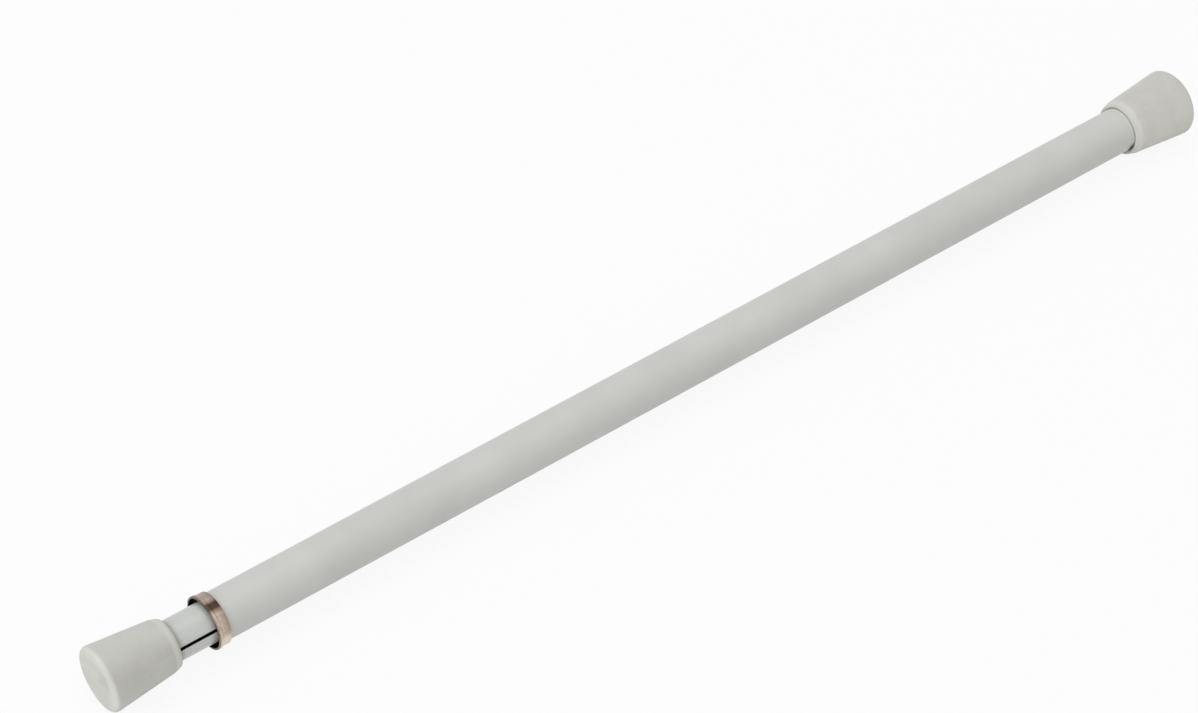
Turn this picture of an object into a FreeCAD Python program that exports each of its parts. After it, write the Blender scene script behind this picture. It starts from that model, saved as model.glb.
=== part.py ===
import FreeCAD, Part
import math
import os

# Spring tension rod: two telescoping steel tubes with rubber end caps, and a spring and a twist
# lock hidden inside. The rod lies along X. The origin is the centre of the fixed cap's wall face,
# and the inner tube comes out towards +X. All sizes are millimetres, at the shortest length.

# Outer tube and the ferrule on its open end
OUTER_TUBE_DIAMETER = 16.0
OUTER_TUBE_WALL = 0.7
OUTER_TUBE_LENGTH = 406.0
FERRULE_OVERLAP = 1.9
FERRULE_OVERHANG = 2.5
FERRULE_WALL = 0.7
FERRULE_BEAD_HEIGHT = 0.3
FERRULE_BEAD_LENGTH = 1.5
FERRULE_LIP_THICKNESS = 0.4
FERRULE_RIM_WALL = 0.75
FERRULE_FIT = 0.05
MOUTH_GUIDE_CLEARANCE = 0.2

# Inner tube, rolled from strip with an open seam
TUBE_CLEARANCE = 0.5
INNER_TUBE_WALL = 0.6
EXPOSED_LENGTH = 12.6
SEAM_GAP = 1.2
SEAM_ANGLE = 17.0

# Rubber end caps, one size for each tube
FIXED_CAP_LENGTH = 26.4
SLIDING_CAP_LENGTH = 24.9
CAP_END_WALL = 4.0
CAP_MOUTH_WALL = 2.1
CAP_TAPER = 2.2
CAP_FACE_EDGE = 1.2
CAP_SHOULDER_LENGTH = 2.7
CAP_SHOULDER_DROP = 1.1
CAP_LIP_WIDTH = 0.2
CAP_LEAD_IN_DEPTH = 2.2
CAP_FIT = 0.05

# Spring
SPRING_WIRE = 1.2
SPRING_WIRE_SIDES = 6
SPRING_BORE_CLEARANCE = 1.0
SPRING_LENGTH = 34.0
SPRING_TURNS = 4
SPRING_RUNS_PER_TURN = 15
SPRING_END_CLEARANCE = 0.05
SPIGOT_LENGTH = 7.0
SPIGOT_CLEARANCE = 0.2

# Plug in the inner tube's hidden end
PLUG_FLANGE = 3.0
PLUG_STEM_LENGTH = 14.0
PLUG_FIT = 0.05
KEY_CLEARANCE = 0.05
BORE_GUIDE_CLEARANCE = 0.1

# Twist lock
BACK_ROOM = 12.0
SPINDLE_FLANGE = 3.0
SCREW_DIAMETER = 6.0
SCREW_CLEARANCE = 0.05
SPINDLE_TAIL = 2.9
SPINDLE_BORE_CLEARANCE = 0.3
SLEEVE_LENGTH = 18.0
SLEEVE_END_CLEARANCE = 0.2
SLEEVE_SHANK_CLEARANCE = 0.3
SLEEVE_CONE_LENGTH = 9.0
SLEEVE_MOUTH_WALL = 1.6
SLEEVE_SLITS = 4
SLIT_WIDTH = 1.4
SLIT_END_WEB = 5.0
NUT_BASE_LENGTH = 3.6
NUT_RIM_CLEARANCE = 0.6
NUT_CONE_CLEARANCE = 0.15
NUT_NOSE_WALL = 0.4
NUT_TRAVEL = 1.5
RIB_CLEARANCE = 0.2
RIB_LENGTH = 9.0

# Radii that follow from the sizes above
OUTER_RADIUS = OUTER_TUBE_DIAMETER / 2
BORE_RADIUS = OUTER_RADIUS - OUTER_TUBE_WALL
INNER_RADIUS = BORE_RADIUS - TUBE_CLEARANCE
INNER_BORE_RADIUS = INNER_RADIUS - INNER_TUBE_WALL
SCREW_RADIUS = SCREW_DIAMETER / 2
COIL_RADIUS = BORE_RADIUS - SPRING_BORE_CLEARANCE - SPRING_WIRE / 2
SPIGOT_RADIUS = COIL_RADIUS - SPRING_WIRE / 2 - SPIGOT_CLEARANCE
SLEEVE_RADIUS = BORE_RADIUS - BORE_GUIDE_CLEARANCE
SLEEVE_HOLE_RADIUS = SCREW_RADIUS + SLEEVE_SHANK_CLEARANCE
SLEEVE_MOUTH_RADIUS = SLEEVE_RADIUS - SLEEVE_MOUTH_WALL
NUT_RIM_RADIUS = SLEEVE_RADIUS - NUT_RIM_CLEARANCE

# Places along the rod that follow from the sizes above, from the fixed end to the sliding end
X_TUBE_START = CAP_END_WALL
X_SPINDLE_END = X_TUBE_START + BACK_ROOM
X_NUT_BACK = X_SPINDLE_END + SPINDLE_TAIL + NUT_TRAVEL
X_SLEEVE_BACK = X_NUT_BACK + NUT_BASE_LENGTH
X_SLEEVE_FRONT = X_SLEEVE_BACK + SLEEVE_LENGTH
X_SPINDLE_FLANGE = X_SLEEVE_FRONT + SLEEVE_END_CLEARANCE
X_SPRING_START = X_SPINDLE_FLANGE + SPINDLE_FLANGE
X_SPRING_END = X_SPRING_START + SPRING_LENGTH
X_INNER_START = X_SPRING_END + PLUG_FLANGE
X_TUBE_END = X_TUBE_START + OUTER_TUBE_LENGTH
X_FERRULE_RIM = X_TUBE_END + FERRULE_OVERHANG
X_CAP_MOUTH = X_FERRULE_RIM + EXPOSED_LENGTH
X_ROD_END = X_CAP_MOUTH + SLIDING_CAP_LENGTH
X_INNER_END = X_ROD_END - CAP_END_WALL

ORIGIN = FreeCAD.Vector(0, 0, 0)
ROD_AXIS = FreeCAD.Vector(1, 0, 0)
FULL_TURN = 360.0


def at(x, radius):
    """Point of a turned profile, in the plane of X and Z."""
    return FreeCAD.Vector(x, 0, radius)


def turned(corners):
    """Solid turned about the rod's axis from a closed profile of (x, radius) corners."""
    points = [at(x, radius) for x, radius in corners]
    outline = Part.makePolygon(points + points[:1])
    return Part.Face(outline).revolve(ORIGIN, ROD_AXIS, FULL_TURN)


def rod(x_start, x_end, radius):
    """Plain cylinder along the rod's axis."""
    return Part.makeCylinder(radius, x_end - x_start, at(x_start, 0), ROD_AXIS)


def blade(x_start, x_end, width, reach, angle):
    """Radial slab of some width from the axis outwards, turned about the axis from +Y by an angle."""
    slab = Part.makeBox(x_end - x_start, reach, width, FreeCAD.Vector(x_start, 0, -width / 2))
    slab.rotate(ORIGIN, ROD_AXIS, angle)
    return slab


def around(count):
    """Angles of evenly spaced copies about the axis."""
    return [FULL_TURN * index / count for index in range(count)]


def outer_tube():
    """Thin straight tube that the lock grips and the inner tube slides in."""
    return turned([
        (X_TUBE_START, BORE_RADIUS),
        (X_TUBE_END, BORE_RADIUS),
        (X_TUBE_END, OUTER_RADIUS),
        (X_TUBE_START, OUTER_RADIUS),
    ])


def mouth_ferrule():
    """Ring pressed on the tube's open end: a beaded rim, a deep recess and a lip on the tube's edge."""
    seat_radius = OUTER_RADIUS + FERRULE_FIT
    lip_radius = INNER_RADIUS + MOUTH_GUIDE_CLEARANCE
    band_radius = seat_radius + FERRULE_WALL
    bead_radius = band_radius + FERRULE_BEAD_HEIGHT
    recess_radius = bead_radius - FERRULE_RIM_WALL
    x_back = X_TUBE_END - FERRULE_OVERLAP
    x_recess = X_TUBE_END + FERRULE_LIP_THICKNESS
    x_bead = X_FERRULE_RIM - FERRULE_BEAD_LENGTH
    return turned([
        (x_back, seat_radius),
        (X_TUBE_END, seat_radius),
        (X_TUBE_END, lip_radius),
        (x_recess, lip_radius),
        (x_recess, recess_radius),
        (X_FERRULE_RIM, recess_radius),
        (X_FERRULE_RIM, bead_radius),
        (x_bead, bead_radius),
        (x_bead, band_radius),
        (x_back, band_radius),
    ])


def end_cap(tube_radius, length):
    """Tapered cup with a drawn-in shoulder and a lead-in at its mouth, and its wall face at x = 0."""
    bore_radius = tube_radius + CAP_FIT
    mouth_radius = bore_radius + CAP_MOUTH_WALL
    face_radius = mouth_radius + CAP_TAPER
    lip_radius = mouth_radius - CAP_SHOULDER_DROP
    lead_in_radius = lip_radius - CAP_LIP_WIDTH
    shoulder_start = length - CAP_SHOULDER_LENGTH
    side_radius = face_radius - CAP_FACE_EDGE * CAP_TAPER / shoulder_start
    return turned([
        (0, 0),
        (0, face_radius - CAP_FACE_EDGE),
        (CAP_FACE_EDGE, side_radius),
        (shoulder_start, mouth_radius),
        (length, lip_radius),
        (length, lead_in_radius),
        (length - CAP_LEAD_IN_DEPTH, bore_radius),
        (CAP_END_WALL, bore_radius),
        (CAP_END_WALL, 0),
    ])


def fixed_end_cap():
    """Cap on the outer tube, with its wall face at the origin."""
    return end_cap(OUTER_RADIUS, FIXED_CAP_LENGTH)


def sliding_end_cap():
    """Cap on the inner tube, turned to face the other wall."""
    cap = end_cap(INNER_RADIUS, SLIDING_CAP_LENGTH)
    cap.rotate(ORIGIN, FreeCAD.Vector(0, 0, 1), FULL_TURN / 2)
    cap.translate(at(X_ROD_END, 0))
    return cap


def inner_tube():
    """Rolled tube with an open seam along its whole length."""
    tube = turned([
        (X_INNER_START, INNER_BORE_RADIUS),
        (X_INNER_END, INNER_BORE_RADIUS),
        (X_INNER_END, INNER_RADIUS),
        (X_INNER_START, INNER_RADIUS),
    ])
    return tube.cut(blade(X_INNER_START, X_INNER_END, SEAM_GAP, OUTER_RADIUS, SEAM_ANGLE))


def tension_spring():
    """Open coil spring between two flanges, with a many-sided wire in short straight runs."""
    room_at_ends = SPRING_WIRE + 2 * SPRING_END_CLEARANCE
    coil_length = SPRING_LENGTH - room_at_ends
    runs = SPRING_TURNS * SPRING_RUNS_PER_TURN
    heading = FreeCAD.Vector(coil_length / SPRING_TURNS, -2 * math.pi * COIL_RADIUS, 0)
    start = at(X_SPRING_START + room_at_ends / 2, COIL_RADIUS)
    wire_end = Part.makeCircle(SPRING_WIRE / 2, start, heading)
    section = Part.makePolygon(wire_end.discretize(SPRING_WIRE_SIDES + 1))
    sections = []
    for run in range(runs + 1):
        place = section.copy()
        place.rotate(ORIGIN, ROD_AXIS, FULL_TURN * run / SPRING_RUNS_PER_TURN)
        place.translate(ROD_AXIS * (coil_length * run / runs))
        sections.append(place)
    return Part.makeLoft(sections, True, True)


def spring_plug():
    """Plug pressed in the inner tube: stem, key in the tube's seam, guide flange and spring spigot."""
    stem_radius = INNER_BORE_RADIUS - PLUG_FIT
    x_stem_end = X_INNER_START + PLUG_STEM_LENGTH
    stem = rod(X_INNER_START, x_stem_end, stem_radius)
    key_width = SEAM_GAP - 2 * KEY_CLEARANCE
    key = blade(X_INNER_START, x_stem_end, key_width, INNER_RADIUS, SEAM_ANGLE)
    flange = rod(X_SPRING_END, X_INNER_START, BORE_RADIUS - BORE_GUIDE_CLEARANCE)
    spigot = rod(X_SPRING_END - SPIGOT_LENGTH, X_SPRING_END, SPIGOT_RADIUS)
    body = flange.multiFuse([stem, key, spigot])
    return body.removeSplitter()


def lock_spindle():
    """Spindle turned by the spring: spigot, flange and a long shank for the nut's screw."""
    flange_radius = BORE_RADIUS - SPINDLE_BORE_CLEARANCE
    x_tip = X_SPRING_START + SPIGOT_LENGTH
    return turned([
        (X_SPINDLE_END, 0),
        (X_SPINDLE_END, SCREW_RADIUS),
        (X_SPINDLE_FLANGE, SCREW_RADIUS),
        (X_SPINDLE_FLANGE, flange_radius),
        (X_SPRING_START, flange_radius),
        (X_SPRING_START, SPIGOT_RADIUS),
        (x_tip, SPIGOT_RADIUS),
        (x_tip, 0),
    ])


def expander_sleeve():
    """Split sleeve with a conical mouth, slit into fingers that spread against the tube's bore."""
    x_cone_end = X_SLEEVE_BACK + SLEEVE_CONE_LENGTH
    sleeve = turned([
        (X_SLEEVE_BACK, SLEEVE_MOUTH_RADIUS),
        (x_cone_end, SLEEVE_HOLE_RADIUS),
        (X_SLEEVE_FRONT, SLEEVE_HOLE_RADIUS),
        (X_SLEEVE_FRONT, SLEEVE_RADIUS),
        (X_SLEEVE_BACK, SLEEVE_RADIUS),
    ])
    cuts = []
    x_slit_end = X_SLEEVE_FRONT - SLIT_END_WEB
    for angle in around(SLEEVE_SLITS):
        cuts.append(blade(X_SLEEVE_BACK, x_slit_end, SLIT_WIDTH, OUTER_RADIUS, angle))
    return sleeve.cut(cuts)


def wedge_nut():
    """Conical nut on the spindle's screw, with ribs in the sleeve's slits that keep it from turning."""
    slope = (SLEEVE_MOUTH_RADIUS - SLEEVE_HOLE_RADIUS) / SLEEVE_CONE_LENGTH
    base_radius = SLEEVE_MOUTH_RADIUS - NUT_CONE_CLEARANCE
    hole_radius = SCREW_RADIUS + SCREW_CLEARANCE
    nose_radius = hole_radius + NUT_NOSE_WALL
    nose_length = (base_radius - nose_radius) / slope
    body = turned([
        (X_NUT_BACK, hole_radius),
        (X_NUT_BACK, base_radius),
        (X_SLEEVE_BACK, base_radius),
        (X_SLEEVE_BACK + nose_length, nose_radius),
        (X_SLEEVE_BACK + nose_length, hole_radius),
    ])
    rib_width = SLIT_WIDTH - 2 * RIB_CLEARANCE
    x_rib_end = X_NUT_BACK + RIB_LENGTH
    hole = rod(X_NUT_BACK, x_rib_end, hole_radius)
    ribs = []
    for angle in around(SLEEVE_SLITS):
        rib = blade(X_NUT_BACK, x_rib_end, rib_width, NUT_RIM_RADIUS, angle)
        ribs.append(rib.cut(hole))
    return body.multiFuse(ribs).removeSplitter()


SUB_PARTS = [
    outer_tube,
    mouth_ferrule,
    fixed_end_cap,
    inner_tube,
    sliding_end_cap,
    tension_spring,
    spring_plug,
    lock_spindle,
    expander_sleeve,
    wedge_nut,
]

os.makedirs("parts", exist_ok=True)
for sub_part in SUB_PARTS:
    sub_part().exportStep(f"parts/{sub_part.__name__}.step")
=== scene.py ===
"""Looks of the spring tension rod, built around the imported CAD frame."""

import math

import bpy
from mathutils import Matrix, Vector


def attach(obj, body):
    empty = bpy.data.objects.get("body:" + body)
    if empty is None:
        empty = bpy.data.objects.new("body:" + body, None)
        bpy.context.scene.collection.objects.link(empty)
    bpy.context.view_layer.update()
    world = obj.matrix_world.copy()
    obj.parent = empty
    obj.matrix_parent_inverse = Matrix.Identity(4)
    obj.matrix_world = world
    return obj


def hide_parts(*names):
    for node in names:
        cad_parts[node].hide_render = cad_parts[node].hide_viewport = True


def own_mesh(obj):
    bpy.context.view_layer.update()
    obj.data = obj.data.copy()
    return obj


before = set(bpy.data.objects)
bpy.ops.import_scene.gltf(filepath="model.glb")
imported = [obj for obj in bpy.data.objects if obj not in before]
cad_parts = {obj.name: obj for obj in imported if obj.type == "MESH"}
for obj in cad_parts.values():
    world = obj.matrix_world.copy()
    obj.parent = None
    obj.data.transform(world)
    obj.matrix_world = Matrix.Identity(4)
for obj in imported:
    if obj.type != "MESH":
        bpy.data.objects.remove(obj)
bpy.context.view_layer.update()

MM = 0.001

# Sizes repeated from the CAD source, in millimetres
OUTER_RADIUS, OUTER_BORE = 8.0, 7.3
TUBE_START, TUBE_END = 4.0, 410.0
FERRULE_BACK, FERRULE_RIM = 408.1, 412.5
FERRULE_SEAT, FERRULE_BAND, FERRULE_BEAD = 8.05, 8.75, 9.05
FERRULE_LIP, FERRULE_RECESS = 7.0, 8.3
LIP_END, BEAD_START = 410.4, 411.0
INNER_RADIUS, INNER_BORE = 6.8, 6.2
INNER_START, INNER_END = 82.2, 446.0
SEAM_GAP, SEAM_ANGLE = 1.2, 17.0
ROD_END = 450.0
FIXED_CAP_LENGTH, SLIDING_CAP_LENGTH = 26.4, 24.9
CAP_END_WALL, CAP_FIT = 4.0, 0.05
CAP_MOUTH_WALL, CAP_TAPER = 2.1, 2.2
CAP_SHOULDER_LENGTH, CAP_SHOULDER_DROP = 2.7, 1.1
CAP_LIP_WIDTH, CAP_LEAD_IN = 0.2, 2.2
SPRING_START, SPRING_LENGTH, SPRING_END_ROOM = 45.2, 34.0, 0.05
SPRING_WIRE, COIL_RADIUS, SPRING_TURNS = 1.2, 5.7, 4

# Rounding of edges that the CAD model keeps plain, in millimetres
FACE_ROUND, SHOULDER_ROUND, LIP_ROUND, LIP_SWELL = 1.4, 0.9, 0.7, 0.3
LEAD_IN_TURN, LEAD_IN_GAP, LEAD_IN_ROUND = 0.6, 0.05, 0.6
RIM_ROUND, BEAD_FOOT_ROUND, BAND_ROUND = 0.3, 0.15, 0.25
TUBE_ROUND, SEAM_ROUND = 0.15, 0.2

# Fineness of the meshes
ARC_STEPS = 7
AROUND = 160
LONGEST_TUBE_RUN, LONGEST_CAP_RUN = 30.0, 3.0
WIRE_SIDES, WIRE_STEPS_PER_TURN = 16, 48
SHARP_ANGLE = math.radians(38)
ON_AXIS = 1e-6

# Tints of the marks, as linear colours
# Grime of the rubber's specks, also the tint of painted shade on the caps and at the sliding cap's mouth
GRIME_AND_SHADE = (0.27, 0.255, 0.235)
# Painted shadow: the near-black tint of a spot at the fixed cap's mouth
PAINTED_SHADOW_DARK = (0.07, 0.065, 0.055)
# Painted light: a lighter paint that lifts the crevice shade at the fixed cap's mouth
CREVICE_LIGHTENING = (0.80, 0.80, 0.77)
# Painted highlight on the caps' rubber
RUBBER_HIGHLIGHT = (0.76, 0.755, 0.71)

# Ranges of a noise value that the looks are spread over
MOST_NOISE, MIDDLE_NOISE, CLOSE_NOISE = (0.3, 0.7), (0.32, 0.68), (0.35, 0.65)
UPPER_NOISE, SPECK_NOISE, HIGH_NOISE = (0.35, 0.75), (0.6, 0.8), (0.62, 0.8)

# Stretch and strength of the paint's rubs, strength of the rubber's specks, and unevenness of the painted
# shade on one side of the rubber
RUB_STRETCH = (0.06, 1.0, 1.0)
RUB_STRENGTH, RUB_DULLING, SPECK_STRENGTH = 0.35, 0.14, 0.2
SIDE_SHADE_UNEVENNESS = (0.8, 1.2)

# Bands of the caps' painted highlights on the shoulder and face edge, in millimetres and degrees
SHOULDER_MIDDLE, SHOULDER_REACH = 1.7, (0.5, 1.3)
FACE_REACH, FACE_EDGE_RADIUS, FACE_EDGE_SIDE = (0.5, 0.9), (9.3, 1.0, 3.0), (49, 40, 110)
FACE_HIGHLIGHT_STRENGTH = 0.38

# Painted shade inside the ferrule: the radii from its lip to just past its recess
INSIDE_MIDDLE = (FERRULE_LIP + FERRULE_RECESS) / 2
INSIDE_HALF = (FERRULE_RECESS - FERRULE_LIP) / 2
FERRULE_SHADED_INSIDE = (INSIDE_MIDDLE, INSIDE_HALF + 0.05, INSIDE_HALF + 0.3)


def rounded(corners):
    """Profile points with an arc at each corner that gives a radius: (x, r) or (x, r, radius)."""
    points = []
    count = len(corners)
    for index, corner in enumerate(corners):
        here = Vector(corner[:2])
        if len(corner) == 2:
            points.append(here)
            continue
        radius = corner[2]
        back = (Vector(corners[index - 1][:2]) - here).normalized()
        on = (Vector(corners[(index + 1) % count][:2]) - here).normalized()
        half = back.angle(on) / 2
        reach = radius / math.tan(half)
        centre = here + (back + on).normalized() * (radius / math.sin(half))
        start = here + back * reach - centre
        end = here + on * reach - centre
        sweep = start.angle_signed(end)
        for step in range(ARC_STEPS + 1):
            turn = -sweep * step / ARC_STEPS
            cos, sin = math.cos(turn), math.sin(turn)
            points.append(centre + Vector((start.x * cos - start.y * sin, start.x * sin + start.y * cos)))
    return points


def stretched(points, longest):
    """The same closed profile with its long runs divided, so that no run is longer than a limit."""
    divided = []
    for here, there in zip(points, points[1:] + points[:1]):
        parts = max(1, math.ceil((there - here).length / longest))
        divided += [here.lerp(there, part / parts) for part in range(parts)]
    return divided


def new_piece(name, shape, body, slot, node, *materials):
    """Smooth mesh piece that rides on a body and stands for a CAD node. Its vertices are in millimetres."""
    vertices, faces = shape
    mesh = bpy.data.meshes.new(name)
    mesh.from_pydata([Vector(vertex) * MM for vertex in vertices], [], faces)
    mesh.validate()
    mesh.shade_smooth()
    mesh.set_sharp_from_angle(angle=SHARP_ANGLE)
    for material in materials:
        mesh.materials.append(material)
    piece = bpy.data.objects.new(name, mesh)
    bpy.context.scene.collection.objects.link(piece)
    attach(piece, body)
    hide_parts(node)
    return piece


def turned(points):
    """Vertices and faces of a closed profile turned about X. Points on the axis become poles."""
    vertices, rings = [], []
    for point in points:
        if point.y < ON_AXIS:
            rings.append([len(vertices)] * AROUND)
            vertices.append((point.x, 0.0, 0.0))
            continue
        rings.append(range(len(vertices), len(vertices) + AROUND))
        for step in range(AROUND):
            angle = 2 * math.pi * step / AROUND
            vertices.append((point.x, point.y * math.cos(angle), point.y * math.sin(angle)))
    faces = []
    for near, far in zip(rings, rings[1:] + rings[:1]):
        if near[0] == near[1] and far[0] == far[1]:
            continue
        for step in range(AROUND):
            on = (step + 1) % AROUND
            # A pole stands twice among the corners of a face that meets it, and is kept once
            corners = [near[step], far[step], far[on], near[on]]
            faces.append(list(dict.fromkeys(corners)))
    return vertices, faces


def outer_tube_profile():
    """Closed profile of the outer tube, with softened ends."""
    return rounded([
        (TUBE_START, OUTER_BORE),
        (TUBE_END, OUTER_BORE),
        (TUBE_END, OUTER_RADIUS, TUBE_ROUND),
        (TUBE_START, OUTER_RADIUS, TUBE_ROUND),
    ])


def ferrule_profile():
    """Closed profile of the ring on the tube's mouth, with a rolled rim."""
    return rounded([
        (FERRULE_BACK, FERRULE_SEAT),
        (TUBE_END, FERRULE_SEAT),
        (TUBE_END, FERRULE_LIP),
        (LIP_END, FERRULE_LIP),
        (LIP_END, FERRULE_RECESS),
        (FERRULE_RIM, FERRULE_RECESS, RIM_ROUND),
        (FERRULE_RIM, FERRULE_BEAD, RIM_ROUND),
        (BEAD_START, FERRULE_BEAD, RIM_ROUND),
        (BEAD_START, FERRULE_BAND, BEAD_FOOT_ROUND),
        (FERRULE_BACK, FERRULE_BAND, BAND_ROUND),
    ])


def end_cap_profile(tube_radius, length):
    """Closed profile of a rubber cap with its wall face at x = 0, rounded as the photo shows."""
    bore = tube_radius + CAP_FIT
    mouth = bore + CAP_MOUTH_WALL
    lip = mouth - CAP_SHOULDER_DROP
    lead_in = lip - CAP_LIP_WIDTH
    return rounded([
        (0, 0),
        (CAP_END_WALL, 0),
        (CAP_END_WALL, bore),
        (length - CAP_LEAD_IN, bore),
        (length - LEAD_IN_TURN, bore + LEAD_IN_GAP, LEAD_IN_ROUND),
        (length, lead_in),
        (length, lip + LIP_SWELL, LIP_ROUND),
        (length - CAP_SHOULDER_LENGTH, mouth, SHOULDER_ROUND),
        (0, mouth + CAP_TAPER, FACE_ROUND),
    ])


def rolled_tube():
    """Vertices and faces of the inner tube: a rolled strip whose two rounded edges leave an open seam."""
    half_gap = math.asin(SEAM_GAP / 2 / INNER_RADIUS)
    seam = math.radians(SEAM_ANGLE)
    arc = 2 * math.pi - 2 * half_gap
    edge_arc = SEAM_ROUND / INNER_RADIUS
    edge = [edge_arc * part / ARC_STEPS for part in range(ARC_STEPS)]
    middle = [edge_arc + (arc - 2 * edge_arc) * step / AROUND for step in range(AROUND + 1)]
    outside, inside = [], []
    for angle in edge + middle + [arc - part for part in reversed(edge)]:
        short_of_edge = 1 - min(angle, arc - angle, edge_arc) / edge_arc
        drop = SEAM_ROUND * (1 - math.sqrt(max(0.0, 1 - short_of_edge ** 2)))
        way = Vector((0.0, math.cos(seam + half_gap + angle), math.sin(seam + half_gap + angle)))
        outside.append(way * (INNER_RADIUS - drop))
        inside.append(way * INNER_BORE)
    section = outside + inside[::-1]
    count = len(section)
    runs = math.ceil((INNER_END - INNER_START) / LONGEST_TUBE_RUN)
    vertices, faces = [], []
    for run in range(runs + 1):
        x = INNER_START + (INNER_END - INNER_START) * run / runs
        vertices += [point + Vector((x, 0.0, 0.0)) for point in section]
    for run in range(runs):
        for step in range(count):
            on = (step + 1) % count
            near, far = run * count, (run + 1) * count
            faces.append([near + step, near + on, far + on, far + step])
    last = runs * count
    for step in range(len(outside) - 1):
        end = [step, step + 1, count - 2 - step, count - 1 - step]
        faces.append(end[::-1])
        faces.append([last + corner for corner in end])
    return vertices, faces


def coil():
    """Vertices and faces of the spring: a round wire along a helix with flat ends."""
    room = SPRING_WIRE + 2 * SPRING_END_ROOM
    length = SPRING_LENGTH - room
    steps = SPRING_TURNS * WIRE_STEPS_PER_TURN
    slope = math.atan2(length / SPRING_TURNS, 2 * math.pi * COIL_RADIUS)
    vertices, faces = [], []
    for step in range(steps + 1):
        angle = 2 * math.pi * step / WIRE_STEPS_PER_TURN
        out = Vector((0, -math.sin(angle), math.cos(angle)))
        way = Vector((math.tan(slope), -math.cos(angle), -math.sin(angle))).normalized()
        side = out.cross(way)
        centre = out * COIL_RADIUS + Vector((SPRING_START + room / 2 + length * step / steps, 0, 0))
        for corner in range(WIRE_SIDES):
            turn = 2 * math.pi * corner / WIRE_SIDES
            vertices.append(centre + (out * math.cos(turn) + side * math.sin(turn)) * (SPRING_WIRE / 2))
    for step in range(steps):
        for corner in range(WIRE_SIDES):
            on = (corner + 1) % WIRE_SIDES
            first, second = step * WIRE_SIDES, (step + 1) * WIRE_SIDES
            faces.append([first + corner, second + corner, second + on, first + on])
    faces.append(list(range(WIRE_SIDES)))
    faces.append([steps * WIRE_SIDES + corner for corner in reversed(range(WIRE_SIDES))])
    return vertices, faces


class Nodes:
    """Small helper that adds nodes to a tree and links them."""

    def __init__(self, tree):
        self.tree = tree
        tree.nodes.clear()

    def add(self, kind, **settings):
        node = self.tree.nodes.new(kind)
        for name, value in settings.items():
            setattr(node, name, value)
        return node

    def link(self, source, target):
        self.tree.links.new(source, target)


def new_material(name):
    """Empty node material with a Principled shader on its output."""
    material = bpy.data.materials.new(name)
    material.use_nodes = True
    nodes = Nodes(material.node_tree)
    output = nodes.add("ShaderNodeOutputMaterial")
    shader = nodes.add("ShaderNodeBsdfPrincipled")
    nodes.link(shader.outputs[0], output.inputs["Surface"])
    return material, nodes, shader


def object_place(nodes, scale=(1.0, 1.0, 1.0)):
    """Object coordinates in metres, stretched by a scale."""
    where = nodes.add("ShaderNodeTexCoord")
    mapping = nodes.add("ShaderNodeMapping")
    mapping.inputs["Scale"].default_value = scale
    nodes.link(where.outputs["Object"], mapping.inputs["Vector"])
    return mapping.outputs["Vector"]


def math_node(nodes, operation, *values):
    """Result of a math node on sockets and plain numbers."""
    node = nodes.add("ShaderNodeMath", operation=operation)
    for socket, value in zip(node.inputs, values):
        if isinstance(value, float):
            socket.default_value = value
        else:
            nodes.link(value, socket)
    return node.outputs[0]


def rod_place(nodes):
    """Place along the rod, distance from its axis, and angle about it from +Y towards +Z."""
    split = nodes.add("ShaderNodeSeparateXYZ")
    nodes.link(object_place(nodes), split.inputs[0])
    x, y, z = split.outputs
    squares = math_node(nodes, "ADD", math_node(nodes, "MULTIPLY", y, y), math_node(nodes, "MULTIPLY", z, z))
    return x, math_node(nodes, "SQRT", squares), math_node(nodes, "ARCTAN2", z, y)


def noise(nodes, place, scale, detail=3.0, roughness=0.5):
    """Value of a noise texture, around one half."""
    texture = nodes.add("ShaderNodeTexNoise")
    texture.inputs["Scale"].default_value = scale
    texture.inputs["Detail"].default_value = detail
    texture.inputs["Roughness"].default_value = roughness
    nodes.link(place, texture.inputs["Vector"])
    return texture.outputs["Fac"]


def two_tone(nodes, factor, dark, light, spread):
    """Colours from dark to light over a spread of a noise value."""
    node = nodes.add("ShaderNodeValToRGB")
    for element, place, colour in zip(node.color_ramp.elements, spread, (dark, light)):
        element.position = place
        element.color = (*colour, 1.0)
    nodes.link(factor, node.inputs["Fac"])
    return node.outputs["Color"]


def span(nodes, factor, taken, given):
    """Value carried from one (low, high) range to another, without going past its ends."""
    node = nodes.add("ShaderNodeMapRange")
    for name, value in zip(("From Min", "From Max", "To Min", "To Max"), (*taken, *given)):
        node.inputs[name].default_value = value
    nodes.link(factor, node.inputs["Value"])
    return node.outputs["Result"]


def band(nodes, value, middle, full, faded):
    """One at and about a middle value, which fades to none between two distances from it."""
    away = math_node(nodes, "ABSOLUTE", math_node(nodes, "SUBTRACT", value, middle))
    return span(nodes, away, (full, faded), (1.0, 0.0))


def mixed(nodes, factor, first, second):
    """Two colours mixed by a factor."""
    node = nodes.add("ShaderNodeMix", data_type="RGBA")
    nodes.link(factor, node.inputs["Factor"])
    colours = [socket for socket in node.inputs if socket.type == "RGBA"]
    for socket, value in zip(colours, (first, second)):
        if isinstance(value, tuple):
            socket.default_value = (*value, 1.0)
        else:
            nodes.link(value, socket)
    return next(socket for socket in node.outputs if socket.type == "RGBA")


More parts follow.
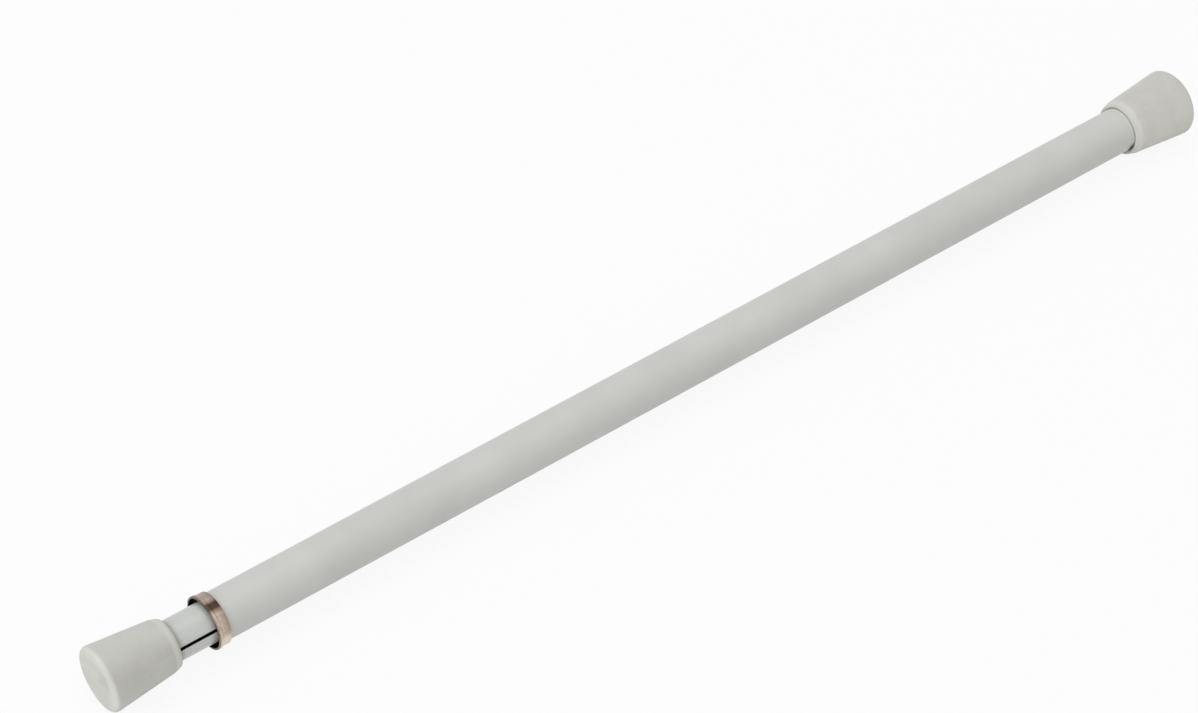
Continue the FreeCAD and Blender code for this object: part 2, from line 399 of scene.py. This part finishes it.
def marked(nodes, colour, marks):
    """A colour under soft marks of painted light and shade, each held to bands along the rod, from its axis
    and about it.

    A band is (middle, full, faded): x and radius are in millimetres, and degrees go from +Y towards +Z.
    """
    x, radius, angle = rod_place(nodes)
    limits = {"x": (x, MM), "radius": (radius, MM), "degrees": (angle, math.radians(1))}
    for mark in marks:
        amount = mark["strength"]
        for limit, (value, unit) in limits.items():
            if limit in mark:
                inside = band(nodes, value, *(part * unit for part in mark[limit]))
                amount = math_node(nodes, "MULTIPLY", inside, amount)
        colour = mixed(nodes, amount, colour, mark["tint"])
    return colour


def bump(nodes, shader, height, strength, distance):
    """Fine relief on a shader's normal, with its depth in millimetres."""
    node = nodes.add("ShaderNodeBump")
    node.inputs["Strength"].default_value = strength
    node.inputs["Distance"].default_value = distance * MM
    nodes.link(height, node.inputs["Height"])
    nodes.link(node.outputs["Normal"], shader.inputs["Normal"])


def paint(name, dark, light, gloss, marks):
    """Sprayed satin paint on steel: faint clouds and lengthwise rubs, under soft marks of painted light and
    shade.
    """
    material, nodes, shader = new_material(name)
    plain = object_place(nodes)
    along = object_place(nodes, scale=RUB_STRETCH)
    clouds = noise(nodes, plain, scale=60.0, detail=4.0)
    rubs = noise(nodes, along, scale=700.0, detail=5.0, roughness=0.6)
    base = two_tone(nodes, clouds, dark, light, MOST_NOISE)
    rubbed = mixed(nodes, span(nodes, rubs, HIGH_NOISE, (0.0, RUB_STRENGTH)), base, dark)
    nodes.link(marked(nodes, rubbed, marks), shader.inputs["Base Color"])
    nodes.link(span(nodes, rubs, UPPER_NOISE, (gloss, gloss + RUB_DULLING)), shader.inputs["Roughness"])
    shader.inputs["Specular IOR Level"].default_value = 0.4
    bump(nodes, shader, noise(nodes, plain, scale=1500.0, detail=2.0), strength=0.06, distance=0.2)
    return material


def rubber(name, dark, light, shaded_side, side_shade_strength, shoulder, shoulder_highlight_strength, wall_face):
    """Moulded rubber: matte and cloudy with specks, with painted shade about one side and painted highlights
    on its shoulder and face edge.
    """
    material, nodes, shader = new_material(name)
    plain = object_place(nodes)
    clouds = noise(nodes, plain, scale=140.0, detail=5.0, roughness=0.6)
    grain = noise(nodes, plain, scale=2600.0, detail=3.0, roughness=0.6)
    speck_and_shade_noise = noise(nodes, plain, scale=420.0, detail=6.0, roughness=0.7)
    base = two_tone(nodes, clouds, dark, light, MIDDLE_NOISE)
    specked = mixed(nodes, span(nodes, speck_and_shade_noise, SPECK_NOISE, (0.0, SPECK_STRENGTH)), base, GRIME_AND_SHADE)
    least, most = (share * side_shade_strength for share in SIDE_SHADE_UNEVENNESS)
    marks = [
        # Painted shade about one side of the cap, broken up by noise
        dict(tint=GRIME_AND_SHADE, degrees=shaded_side, strength=span(nodes, speck_and_shade_noise, CLOSE_NOISE, (least, most))),
        # Painted highlights: a lighter band on the shoulder, and on the near side of the face edge
        dict(tint=RUBBER_HIGHLIGHT, x=(shoulder, *SHOULDER_REACH), strength=shoulder_highlight_strength),
        dict(
            tint=RUBBER_HIGHLIGHT,
            x=(wall_face, *FACE_REACH),
            radius=FACE_EDGE_RADIUS,
            degrees=FACE_EDGE_SIDE,
            strength=FACE_HIGHLIGHT_STRENGTH,
        ),
    ]
    nodes.link(marked(nodes, specked, marks), shader.inputs["Base Color"])
    nodes.link(span(nodes, grain, MOST_NOISE, (0.62, 0.8)), shader.inputs["Roughness"])
    shader.inputs["Specular IOR Level"].default_value = 0.3
    shader.inputs["Sheen Weight"].default_value = 0.08
    bump(nodes, shader, grain, strength=0.12, distance=0.2)
    return material


def brass(name, dark, light, painted_shading):
    """Brass-coloured plating: metal in two tones, under painted shade and reflections."""
    material, nodes, shader = new_material(name)
    plain = object_place(nodes)
    cast = noise(nodes, plain, scale=900.0, detail=4.0, roughness=0.6)
    base = two_tone(nodes, cast, dark, light, CLOSE_NOISE)
    nodes.link(marked(nodes, base, painted_shading), shader.inputs["Base Color"])
    shader.inputs["Metallic"].default_value = 1.0
    nodes.link(span(nodes, cast, MOST_NOISE, (0.26, 0.4)), shader.inputs["Roughness"])
    bump(nodes, shader, noise(nodes, plain, scale=2400.0, detail=2.0), strength=0.05, distance=0.1)
    return material


def steel(name, dark, light):
    """Drawn steel: metal with fine streaks."""
    material, nodes, shader = new_material(name)
    streaks = noise(nodes, object_place(nodes), scale=1800.0, detail=4.0, roughness=0.6)
    nodes.link(two_tone(nodes, streaks, dark, light, MOST_NOISE), shader.inputs["Base Color"])
    shader.inputs["Metallic"].default_value = 1.0
    nodes.link(span(nodes, streaks, MOST_NOISE, (0.28, 0.45)), shader.inputs["Roughness"])
    bump(nodes, shader, streaks, strength=0.06, distance=0.1)
    return material


def nylon(name, dark, light):
    """Natural moulded nylon: milky, with a soft gloss and flow clouds."""
    material, nodes, shader = new_material(name)
    plain = object_place(nodes)
    clouds = noise(nodes, plain, scale=220.0, detail=4.0)
    nodes.link(two_tone(nodes, clouds, dark, light, MOST_NOISE), shader.inputs["Base Color"])
    nodes.link(span(nodes, clouds, MOST_NOISE, (0.4, 0.55)), shader.inputs["Roughness"])
    shader.inputs["Subsurface Weight"].default_value = 0.05
    bump(nodes, shader, noise(nodes, plain, scale=3000.0, detail=2.0), strength=0.05, distance=0.1)
    return material


# Paint: painted light in the crevice at the fixed cap's mouth, a painted shadow spot on one side of it, and
# painted shade at the sliding cap's mouth
OUTER_PAINT = paint(
    "outer_paint_look",
    dark=(0.555, 0.555, 0.53),
    light=(0.595, 0.595, 0.57),
    gloss=0.42,
    marks=[
        # Painted light: lighter paint in the crevice at the fixed cap's mouth
        dict(tint=CREVICE_LIGHTENING, x=(FIXED_CAP_LENGTH, 0.3, 1.2), strength=0.5),
        # Painted shadow: a near-black spot on the lower side of the fixed cap's mouth
        dict(tint=PAINTED_SHADOW_DARK, x=(FIXED_CAP_LENGTH, 0.8, 1.8), degrees=(-27, 10, 22), strength=0.85),
    ],
)
INNER_PAINT = paint(
    "inner_paint_look",
    dark=(0.545, 0.56, 0.535),
    light=(0.58, 0.597, 0.57),
    gloss=0.2,
    # Painted shade: a dark ring where the inner tube enters the sliding cap
    marks=[dict(tint=GRIME_AND_SHADE, x=(ROD_END - SLIDING_CAP_LENGTH, 0.5, 1.8), strength=0.6)],
)

# Rubber of the two caps: a lighter copy for the fixed cap and a darker copy for the sliding cap, as painted
# light and shade, each with painted shade about one side
FIXED_RUBBER = rubber(
    "fixed_cap_look",
    dark=(0.6, 0.595, 0.552),
    light=(0.645, 0.642, 0.597),
    shaded_side=(80, 30, 62),
    side_shade_strength=0.165,
    shoulder=FIXED_CAP_LENGTH - SHOULDER_MIDDLE,
    shoulder_highlight_strength=0.26,
    wall_face=0.0,
)
SLIDING_RUBBER = rubber(
    "sliding_cap_look",
    dark=(0.555, 0.552, 0.515),
    light=(0.6, 0.598, 0.56),
    shaded_side=(36, 6, 46),
    side_shade_strength=0.22,
    shoulder=ROD_END - SLIDING_CAP_LENGTH + SHOULDER_MIDDLE,
    shoulder_highlight_strength=0.45,
    wall_face=ROD_END,
)

# Ferrule, with painted light and shade in this order: painted shade at the back edge, a painted darker
# reflection on the top, a painted pale reflection on the underside, a painted dark reflection patch, and
# painted shade on the rim and inside
BRASS = brass(
    "ferrule_brass_look",
    dark=(0.47, 0.375, 0.31),
    light=(0.62, 0.50, 0.42),
    painted_shading=[
        dict(tint=(0.20, 0.15, 0.115), x=(FERRULE_BACK, 0.0, 2.4), strength=0.65),
        dict(tint=(0.2, 0.19, 0.17), degrees=(112, 16, 28), strength=0.42),
        dict(tint=(0.74, 0.66, 0.53), degrees=(-14, 8, 24), strength=0.8),
        dict(tint=(0.04, 0.023, 0.013), degrees=(73, 6, 19), strength=0.96),
        dict(tint=(0.08, 0.055, 0.037), x=(FERRULE_RIM, 0.0, 0.8), strength=0.8),
        dict(tint=(0.03, 0.02, 0.012), radius=FERRULE_SHADED_INSIDE, strength=1.0),
    ],
)

# Steel and nylon inside the tubes
WIRE = steel("spring_steel_look", dark=(0.42, 0.42, 0.43), light=(0.58, 0.58, 0.59))
BARE_STEEL = steel("bare_steel_look", dark=(0.32, 0.31, 0.30), light=(0.42, 0.41, 0.40))
NYLON = nylon("nylon_look", dark=(0.72, 0.71, 0.66), light=(0.80, 0.79, 0.74))

# Pieces on the outer tube
outer_skin = turned(stretched(outer_tube_profile(), LONGEST_TUBE_RUN))
new_piece("outer_tube_skin", outer_skin, "outer", "outer_paint", "outer_tube", OUTER_PAINT)
new_piece("mouth_ferrule_ring", turned(ferrule_profile()), "outer", "ferrule_brass", "mouth_ferrule", BRASS)
fixed_cap = turned(stretched(end_cap_profile(OUTER_RADIUS, FIXED_CAP_LENGTH), LONGEST_CAP_RUN))
new_piece("fixed_end_cap_rubber", fixed_cap, "outer", "cap_rubber", "fixed_end_cap", FIXED_RUBBER)

# Pieces on the inner tube, which is bare steel inside and at its seam
inner_skin = new_piece(
    "inner_tube_skin", rolled_tube(), "slider", "inner_paint", "inner_tube", INNER_PAINT, BARE_STEEL
)
for polygon in inner_skin.data.polygons:
    if polygon.center.yz.length < (INNER_RADIUS - SEAM_ROUND) * MM:
        polygon.material_index = 1
small_profile = reversed(end_cap_profile(INNER_RADIUS, SLIDING_CAP_LENGTH))
small_cap = [Vector((ROD_END - point.x, point.y)) for point in small_profile]
sliding_cap = turned(stretched(small_cap, LONGEST_CAP_RUN))
new_piece("sliding_end_cap_rubber", sliding_cap, "slider", "cap_rubber", "sliding_end_cap", SLIDING_RUBBER)

# Spring, on a mesh of its own; the real spring shortens as the inner tube is pushed in
spring = new_piece("tension_spring_coil", coil(), "spindle", "spring_steel", "tension_spring", WIRE)
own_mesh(spring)

# Looks of the CAD nodes: the moulded pieces of the lock keep their CAD form
NODE_LOOKS = {
    "outer_tube": OUTER_PAINT,
    "mouth_ferrule": BRASS,
    "fixed_end_cap": FIXED_RUBBER,
    "inner_tube": INNER_PAINT,
    "sliding_end_cap": SLIDING_RUBBER,
    "tension_spring": WIRE,
    "spring_plug": NYLON,
    "lock_spindle": NYLON,
    "expander_sleeve": NYLON,
    "wedge_nut": NYLON,
}
for name, material in NODE_LOOKS.items():
    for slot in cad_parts[name].material_slots:
        slot.material = material

# Floor under the larger cap, and a studio that is white to the camera
FLOOR_HEIGHT = -12.4 * MM
FLOOR_REACH = 6.0
FLOOR_COLOUR = (0.80, 0.80, 0.79, 1.0)
FLOOR_WHITE_SHARE = 0.9
AMBIENT_BEHIND, AMBIENT_AHEAD = 0.5, 0.9
WHITE = (1.0, 1.0, 1.0, 1.0)
ROD_MIDDLE = (ROD_END / 2 * MM, 0.0, 0.0)


def shown_white(nodes, plain_shader, white_shader, share):
    """A share of white to camera, mirror and glass rays, and plain to the rest of the light."""
    path = nodes.add("ShaderNodeLightPath")
    mirrored = math_node(nodes, "MAXIMUM", path.outputs["Is Glossy Ray"], path.outputs["Is Transmission Ray"])
    seen = math_node(nodes, "MAXIMUM", path.outputs["Is Camera Ray"], mirrored)
    mix = nodes.add("ShaderNodeMixShader")
    nodes.link(math_node(nodes, "MULTIPLY", seen, share), mix.inputs[0])
    nodes.link(plain_shader.outputs[0], mix.inputs[1])
    nodes.link(white_shader.outputs[0], mix.inputs[2])
    return mix.outputs[0]


def floor_look():
    """Pale floor that shows the camera only a trace of its shadows."""
    material = bpy.data.materials.new("floor_look")
    material.use_nodes = True
    nodes = Nodes(material.node_tree)
    plain = nodes.add("ShaderNodeBsdfDiffuse")
    plain.inputs["Color"].default_value = FLOOR_COLOUR
    white = nodes.add("ShaderNodeEmission")
    output = nodes.add("ShaderNodeOutputMaterial")
    nodes.link(shown_white(nodes, plain, white, FLOOR_WHITE_SHARE), output.inputs["Surface"])
    return material


def studio_world():
    """Soft light from all round, stronger from the sliding cap's end, and white where it is seen."""
    world = bpy.data.worlds.new("studio")
    world.use_nodes = True
    nodes = Nodes(world.node_tree)
    plain = nodes.add("ShaderNodeBackground")
    plain.inputs["Color"].default_value = WHITE
    way = nodes.add("ShaderNodeTexCoord")
    split = nodes.add("ShaderNodeSeparateXYZ")
    nodes.link(way.outputs["Generated"], split.inputs[0])
    strength = span(nodes, split.outputs["X"], (-1.0, 1.0), (AMBIENT_BEHIND, AMBIENT_AHEAD))
    nodes.link(strength, plain.inputs["Strength"])
    white = nodes.add("ShaderNodeBackground")
    white.inputs["Color"].default_value = WHITE
    output = nodes.add("ShaderNodeOutputWorld")
    nodes.link(shown_white(nodes, plain, white, 1.0), output.inputs["Surface"])
    return world


def aimed(name, data, place, target):
    """Lamp or camera object at a place, turned to face a target."""
    holder = bpy.data.objects.new(name, data)
    holder.location = place
    holder.rotation_mode = "QUATERNION"
    holder.rotation_quaternion = (Vector(target) - Vector(place)).to_track_quat("-Z", "Y")
    bpy.context.scene.collection.objects.link(holder)
    return holder


def softbox(name, place, size, power):
    """Square area lamp that faces the middle of the rod."""
    lamp = bpy.data.lights.new(name, "AREA")
    lamp.shape = "SQUARE"
    lamp.size = size
    lamp.energy = power
    aimed(name, lamp, place, ROD_MIDDLE)


floor_mesh = bpy.data.meshes.new("floor")
floor_corners = [(-1, -1), (1, -1), (1, 1), (-1, 1)]
floor_mesh.from_pydata(
    [(x * FLOOR_REACH, y * FLOOR_REACH, FLOOR_HEIGHT) for x, y in floor_corners],
    [],
    [range(len(floor_corners))],
)
floor_mesh.materials.append(floor_look())
floor = bpy.data.objects.new("floor", floor_mesh)
bpy.context.scene.collection.objects.link(floor)
bpy.context.scene.world = studio_world()

# Lamps: a large one overhead, and one at the sliding cap's end
softbox("overhead_softbox", place=(0.3, -0.1, 1.7), size=1.6, power=8.6)
softbox("end_softbox", place=(2.3, 0.2, 0.75), size=1.2, power=9.0)

# Camera fitted to the front rod of the photo
CAMERA_PLACE, CAMERA_TARGET = (0.75748, 0.62781, 0.74694), (0.24446, -0.0202, 0.0)
SENSOR_WIDTH, LENS = 36.0, 102.17
NEAREST_SEEN, FARTHEST_SEEN = 0.05, 50.0
camera_data = bpy.data.cameras.new("photo_camera")
camera_data.sensor_fit = "HORIZONTAL"
camera_data.sensor_width = SENSOR_WIDTH
camera_data.lens = LENS
camera_data.clip_start = NEAREST_SEEN
camera_data.clip_end = FARTHEST_SEEN
bpy.context.scene.camera = aimed("photo_camera", camera_data, CAMERA_PLACE, CAMERA_TARGET)
bpy.context.scene.view_settings.view_transform = "Standard"
